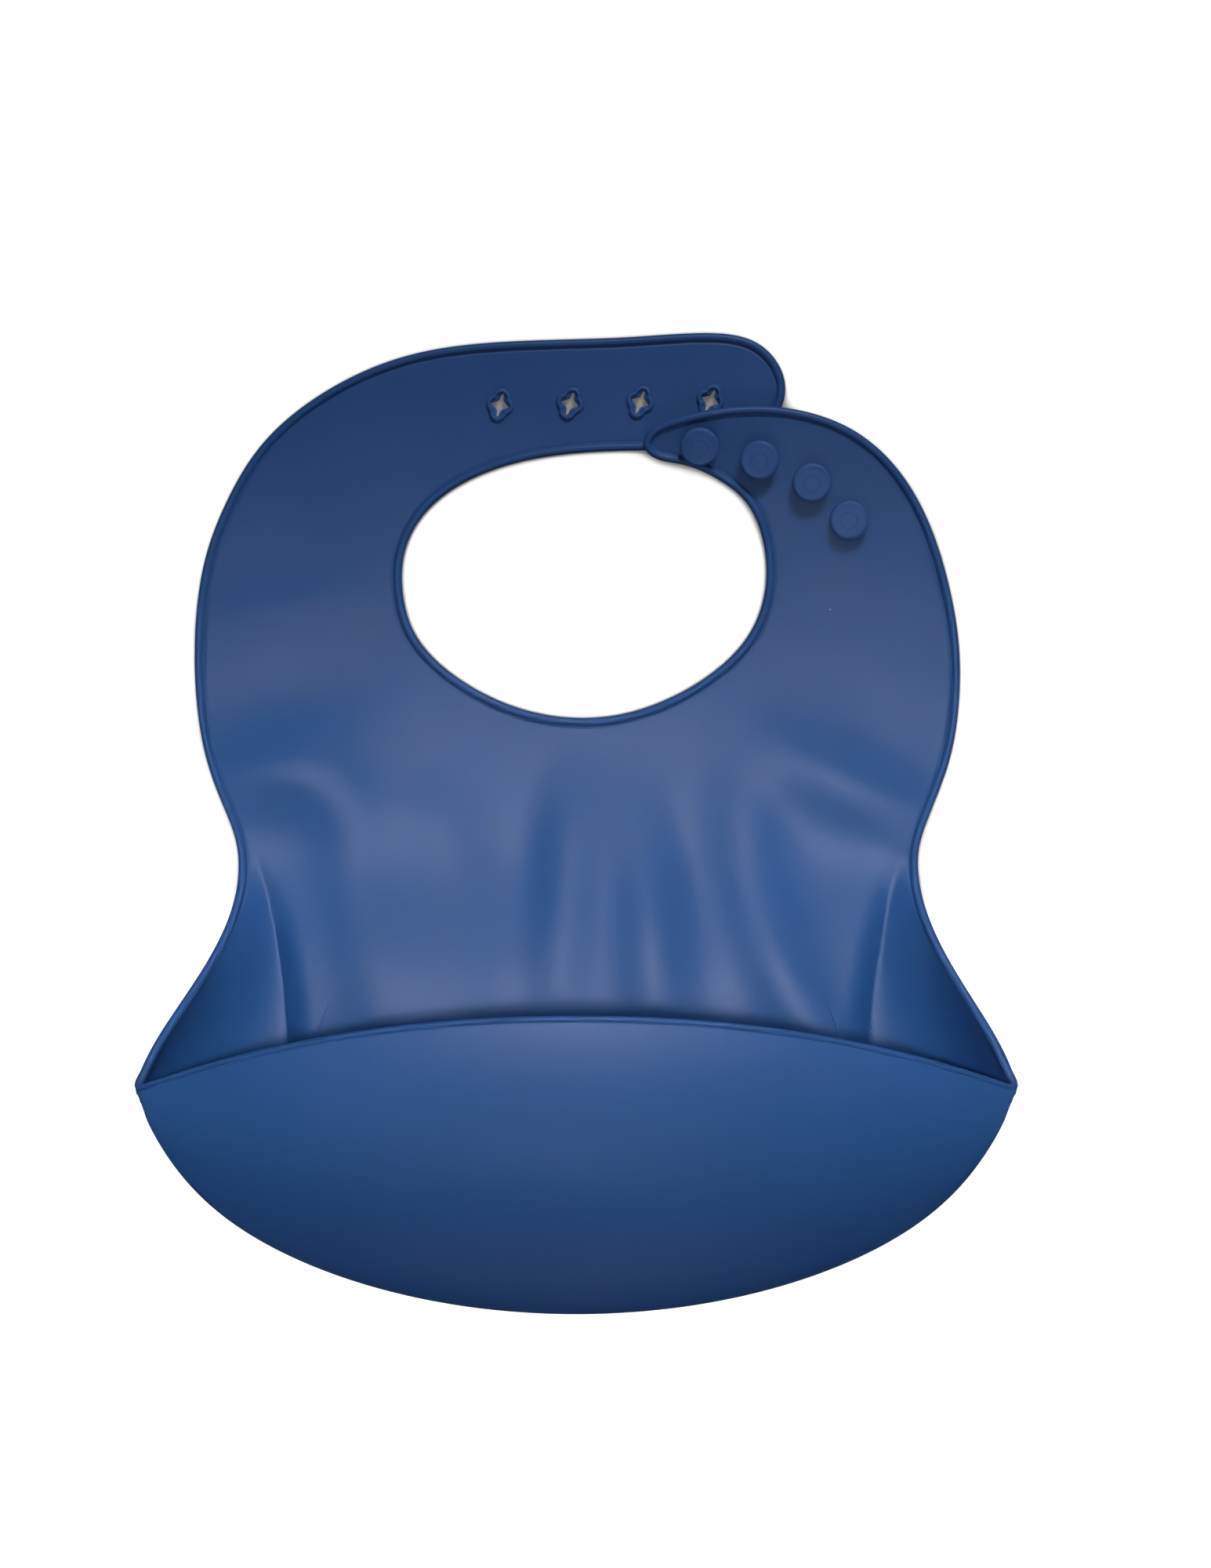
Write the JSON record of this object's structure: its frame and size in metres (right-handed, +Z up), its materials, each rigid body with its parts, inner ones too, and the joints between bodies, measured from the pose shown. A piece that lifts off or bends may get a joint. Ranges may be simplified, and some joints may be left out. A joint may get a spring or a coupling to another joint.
{
  "type": "silicone bib",
  "caption": "Soft silicone feeding bib with a catch-all food pocket, a raised neck edge and an adjustable button fastening on overlapping straps.",
  "frame": {"origin": "middle of the footprint, on the surface that the bib lies on", "axes": "+Z up out of the front of the bib, +Y from the pocket to the neck straps, +X to the right as seen from above"},
  "size_m": [0.23, 0.262, 0.0506],
  "materials": {
    "silicone": "matte moulded silicone, navy blue",
    "silicone_edge": "matte moulded silicone, navy blue, rounded edge"
  },
  "bodies": {
    "chest": {"chest_panel": "silicone", "chest_left_bead": "silicone_edge", "chest_right_bead": "silicone_edge", "neck_bead": "silicone_edge"},
    "shoulders": {"left_shoulder": "silicone", "right_shoulder": "silicone", "left_shoulder_beads": "silicone_edge", "right_shoulder_beads": "silicone_edge"},
    "hole_strap": {"hole_strap": "silicone", "hole_strap_bead": "silicone_edge", "hole_rim_1": "silicone_edge", "hole_rim_2": "silicone_edge", "hole_rim_3": "silicone_edge", "hole_rim_4": "silicone_edge"},
    "button_strap": {"button_strap": "silicone", "button_strap_bead": "silicone_edge", "button_1": "silicone", "button_2": "silicone", "button_3": "silicone", "button_4": "silicone"},
    "pocket": {"pocket_back": "silicone", "pocket_base": "silicone", "pocket_toe": "silicone", "left_wing": "silicone", "right_wing": "silicone", "left_wing_bead": "silicone_edge", "right_wing_bead": "silicone_edge", "left_cheek": "silicone", "right_cheek": "silicone", "left_cheek_lip": "silicone_edge", "right_cheek_lip": "silicone_edge"},
    "pocket_front": {"pocket_front": "silicone", "pocket_lip": "silicone_edge"}
  },
  "joints": [
    {"name": "shoulder_fold", "type": "hinge", "parent": "chest", "child": "shoulders", "pos_m": [0, 0.046, 0.0026], "axis": [1, 0, 0], "range_deg": [0, 90], "stiffness_Nm_per_rad": 0.0013},
    {"name": "hole_strap_swing", "type": "hinge", "parent": "shoulders", "child": "hole_strap", "pos_m": [-0.0972, 0.078, 0.0007], "axis": [0, 0, 1], "range_deg": [0, 25], "stiffness_Nm_per_rad": 0.02},
    {"name": "button_strap_lift", "type": "hinge", "parent": "shoulders", "child": "button_strap", "pos_m": [0.075, 0.07, 0.0026], "axis": [1, 0, 0], "range_deg": [0, 100], "stiffness_Nm_per_rad": 0.0006},
    {"name": "waist_fold", "type": "hinge", "parent": "chest", "child": "pocket", "pos_m": [0, -0.01, 0.0026], "axis": [-1, 0, 0], "range_deg": [0, 60], "stiffness_Nm_per_rad": 0.002},
    {"name": "pocket_mouth", "type": "hinge", "parent": "pocket", "child": "pocket_front", "pos_m": [0, -0.112, 0.0277], "axis": [1, 0, 0], "range_deg": [-20, 15], "stiffness_Nm_per_rad": 0.3, "springref_deg": 0.86}
  ]
}
